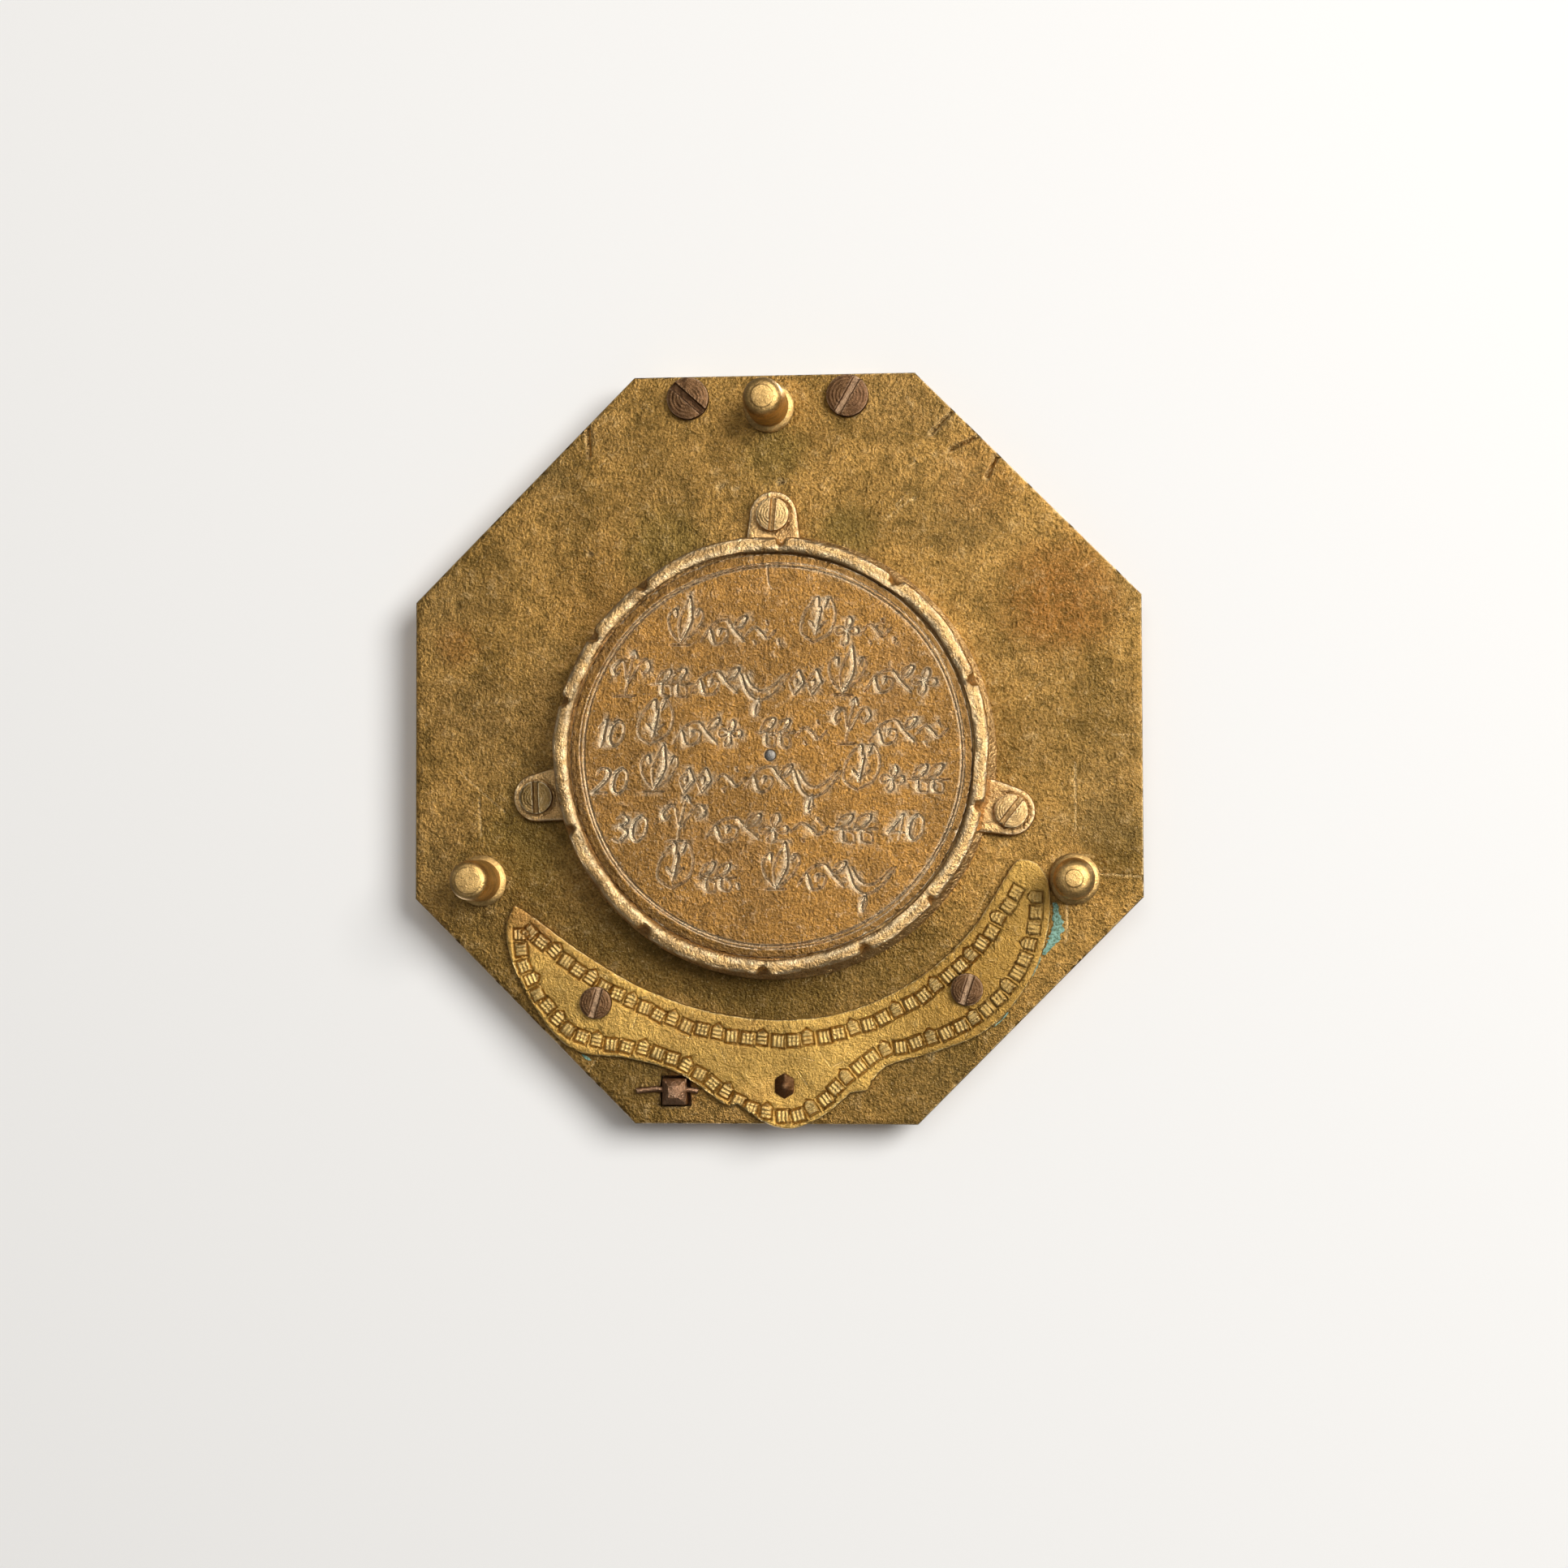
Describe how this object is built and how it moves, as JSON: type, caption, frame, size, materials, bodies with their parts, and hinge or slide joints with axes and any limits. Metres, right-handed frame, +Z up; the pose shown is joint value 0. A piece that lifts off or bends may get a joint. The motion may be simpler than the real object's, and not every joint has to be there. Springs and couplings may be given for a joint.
{
  "type": "folding pocket sundial",
  "caption": "Folding universal equinoctial pocket sundial: octagonal brass base on turned feet, compass box, hinged hour ring, latitude arc, gnomon and plummet stand.",
  "frame": {"origin": "bottom centre of the object's box, on the surface that the three feet stand on", "axes": "+Z up through the dial face, +Y north towards the hour ring hinge, +X east"},
  "size_m": [0.0604, 0.0623, 0.0105],
  "materials": {
    "plate_bronze": "olive brown patina, satin, lightly pitted",
    "cup_bronze": "warm orange-tan patina, grainy, bright on the edges",
    "yellow_brass": "yellow brass, satin, stained brown",
    "gilt_brass": "bright turned brass",
    "screw_brass": "brown brass, worn",
    "dark_copper": "dark reddish-brown patina",
    "steel": "old steel, dull",
    "blued_steel": "blued steel",
    "card": "aged painted compass card",
    "window_glass": "old clear glass"
  },
  "bodies": {
    "base": {"base_plate": "plate_bronze", "compass_box": "cup_bronze", "compass_box_bottom": "cup_bronze", "compass_card": "card", "compass_glass": "window_glass", "glass_ring": "gilt_brass", "needle_pivot": "steel", "box_lug_screws": "screw_brass", "ring_hinge_block": "plate_bronze", "ring_hinge_screws": "dark_copper", "ring_hinge_pin": "steel", "foot_north": "gilt_brass", "foot_east": "gilt_brass", "foot_west": "gilt_brass", "crescent_spring": "yellow_brass", "crescent_screws": "dark_copper", "stand_bracket": "dark_copper", "bracket_cotter": "dark_copper", "stand_hinge_pin": "steel", "stand_rest": "dark_copper", "arc_hinge_block": "plate_bronze", "arc_hinge_rivets": "dark_copper", "arc_hinge_pin": "steel"},
    "ring": {"hour_ring": "yellow_brass", "gnomon_bridge": "yellow_brass", "bridge_rivets": "dark_copper", "gnomon_pin": "steel", "gnomon_spring": "steel"},
    "gnomon_rod": {"gnomon": "steel"},
    "arc": {"latitude_arc": "yellow_brass"},
    "needle": {"compass_needle": "blued_steel", "needle_cap": "gilt_brass"},
    "stand": {"plummet_stand": "yellow_brass", "bob_hook": "steel"},
    "bob": {"bob_link": "steel", "plumb_bob": "gilt_brass"}
  },
  "joints": [
    {"name": "ring_hinge", "type": "hinge", "parent": "base", "child": "ring", "pos_m": [0.0005, 0.0275, 0.009], "axis": [-1, 0, 0], "range_deg": [0, 90]},
    {"name": "gnomon_hinge", "type": "hinge", "parent": "ring", "child": "gnomon_rod", "pos_m": [0, 0.0005, 0.009], "axis": [-1, 0, 0], "range_deg": [0, 90]},
    {"name": "arc_hinge", "type": "hinge", "parent": "base", "child": "arc", "pos_m": [-0.014, 0.01, 0.009], "axis": [0, -1, 0], "range_deg": [0, 90]},
    {"name": "needle_turn", "type": "hinge", "parent": "base", "child": "needle", "pos_m": [0, -0.0008, 0.004], "axis": [0, 0, 1], "continuous": true},
    {"name": "stand_hinge", "type": "hinge", "parent": "base", "child": "stand", "pos_m": [0.0083, -0.0283, 0.0092], "axis": [0, 1, 0], "range_deg": [0, 90]},
    {"name": "bob_swing", "type": "hinge", "parent": "stand", "child": "bob", "pos_m": [-0.0117, -0.02585, 0.0092], "axis": [0, -1, 0], "range_deg": [0, 45]}
  ]
}
